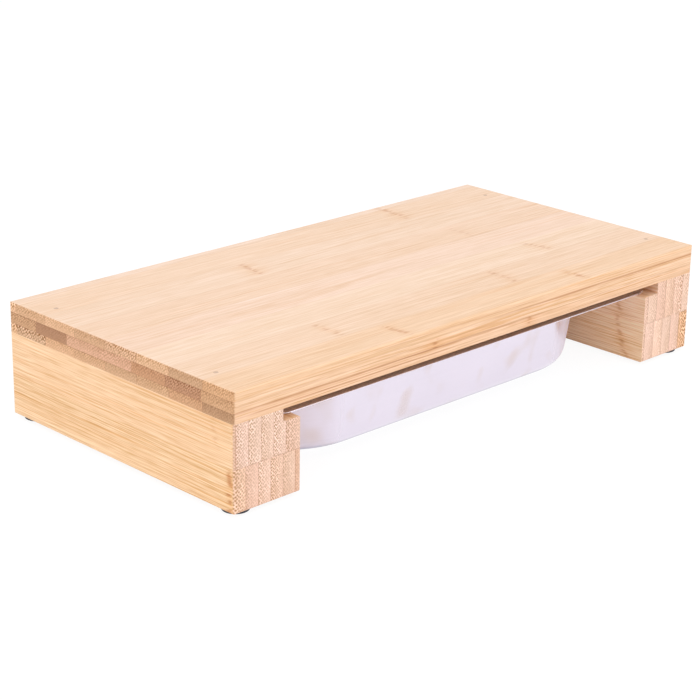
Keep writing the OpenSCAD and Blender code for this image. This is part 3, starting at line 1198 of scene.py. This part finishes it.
def floor_material():
    """A pale floor that looks white, and still takes the board's soft shadow."""
    made = bpy.data.materials.new("White floor")
    tree = empty_tree(made)
    paper = add(tree, "BsdfDiffuse", {"Color": (0.12, 0.12, 0.12, 1.0)})
    glow = add(tree, "Emission", {"Color": WHITE, "Strength": FLOOR_GLOW})
    white = add(tree, "AddShader", {0: paper.outputs[0], 1: glow.outputs[0]})
    plain = add(tree, "BsdfDiffuse", {"Color": (0.9, 0.9, 0.9, 1.0)})
    inputs = {0: seen_directly(tree), 1: plain.outputs[0], 2: white.outputs[0]}
    mixed = add(tree, "MixShader", inputs)
    add(tree, "OutputMaterial", {"Surface": mixed.outputs[0]})
    arrange(tree)
    return made


class CUTTINGBOARD_OT_studio(bpy.types.Operator):
    """Sets the floor, the room's light, the lamps and the camera"""

    bl_idname = "cutting_board.studio"
    bl_label = "Set the studio"

    def execute(self, context):
        scene = context.scene
        studio = scene.studio_settings
        self.make_floor()
        self.make_room(scene, studio)
        self.make_lamps(scene, studio)
        self.make_camera(scene, studio)
        scene.view_settings.view_transform = "Standard"
        return {"FINISHED"}

    def make_floor(self):
        mesh = bmesh.new()
        bmesh.ops.create_grid(mesh, x_segments=4, y_segments=4, size=FLOOR_SIZE)
        floor = smooth_object("studio_floor", mesh)
        floor.data.materials.append(floor_material())

    def make_room(self, scene, studio):
        world = bpy.data.worlds.new("White room")
        tree = empty_tree(world)
        level = times(tree, seen_directly(tree), 1.0 - studio.ambient)
        level = calc(tree, "ADD", level, studio.ambient)
        sky = add(tree, "Background", {"Color": WHITE, "Strength": level})
        add(tree, "OutputWorld", {"Surface": sky.outputs[0]})
        arrange(tree)
        scene.world = world

    def make_lamps(self, scene, studio):
        for name, (place, size, share) in LAMPS.items():
            lamp = bpy.data.lights.new(name, "AREA")
            lamp.shape = "SQUARE"
            lamp.size = size
            lamp.energy = studio.key * share
            holder = bpy.data.objects.new(name, lamp)
            holder.location = place
            aim = Vector(LAMP_TARGET) - Vector(place)
            holder.rotation_mode = "QUATERNION"
            holder.rotation_quaternion = aim.to_track_quat("-Z", "Y")
            scene.collection.objects.link(holder)

    def make_camera(self, scene, studio):
        a, e, r = studio.azimuth, studio.elevation, studio.roll
        back = Vector((math.sin(a) * math.cos(e), -math.cos(a) * math.cos(e), math.sin(e)))
        right = Vector((math.cos(a), math.sin(a), 0.0))
        up = back.cross(right)
        turned_right = right * math.cos(r) + up * math.sin(r)
        turned_up = up * math.cos(r) - right * math.sin(r)
        camera = bpy.data.cameras.new("Photo camera")
        camera.lens = studio.lens
        camera.sensor_width = SENSOR_WIDTH
        camera.clip_start = 0.01
        camera.clip_end = 20.0
        holder = bpy.data.objects.new("Photo camera", camera)
        columns = Matrix((turned_right, turned_up, back)).transposed().to_4x4()
        holder.matrix_world = Matrix.Translation(Vector(studio.place)) @ columns
        scene.collection.objects.link(holder)
        scene.camera = holder


class CUTTINGBOARD_PT_sidebar(bpy.types.Panel):
    """Lists the steps and the settings in the sidebar"""

    bl_idname = "CUTTINGBOARD_PT_sidebar"
    bl_label = "Cutting board"
    bl_space_type = "VIEW_3D"
    bl_region_type = "UI"
    bl_category = "Cutting board"

    def draw(self, context):
        for step in STEPS:
            self.layout.operator(step.bl_idname)
        for name, group in SETTINGS.items():
            box = self.layout.box()
            box.label(text=name.replace("_", " ").capitalize())
            for field in group.__annotations__:
                box.prop(getattr(context.scene, name), field)


SETTINGS = {
    "bamboo_tones": BambooTones,
    "bamboo_grain": BambooGrain,
    "tray_sizes": TraySizes,
    "foot_sizes": FootSizes,
    "studio_settings": StudioSettings,
}

STEPS = (
    CUTTINGBOARD_OT_board,
    CUTTINGBOARD_OT_rails,
    CUTTINGBOARD_OT_tray,
    CUTTINGBOARD_OT_feet,
    CUTTINGBOARD_OT_pins,
    CUTTINGBOARD_OT_studio,
)


def register():
    for group in SETTINGS.values():
        bpy.utils.register_class(group)
    for name, group in SETTINGS.items():
        setattr(bpy.types.Scene, name, PointerProperty(type=group))
    for step in STEPS:
        bpy.utils.register_class(step)
    bpy.utils.register_class(CUTTINGBOARD_PT_sidebar)


def unregister():
    bpy.utils.unregister_class(CUTTINGBOARD_PT_sidebar)
    for step in reversed(STEPS):
        bpy.utils.unregister_class(step)
    for name, group in SETTINGS.items():
        delattr(bpy.types.Scene, name)
        bpy.utils.unregister_class(group)


def main():
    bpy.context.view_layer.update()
    register()
    bpy.ops.cutting_board.board()
    bpy.ops.cutting_board.rails()
    bpy.ops.cutting_board.tray()
    bpy.ops.cutting_board.feet()
    bpy.ops.cutting_board.pins()
    bpy.ops.cutting_board.studio()


if __name__ == "__main__":
    main()
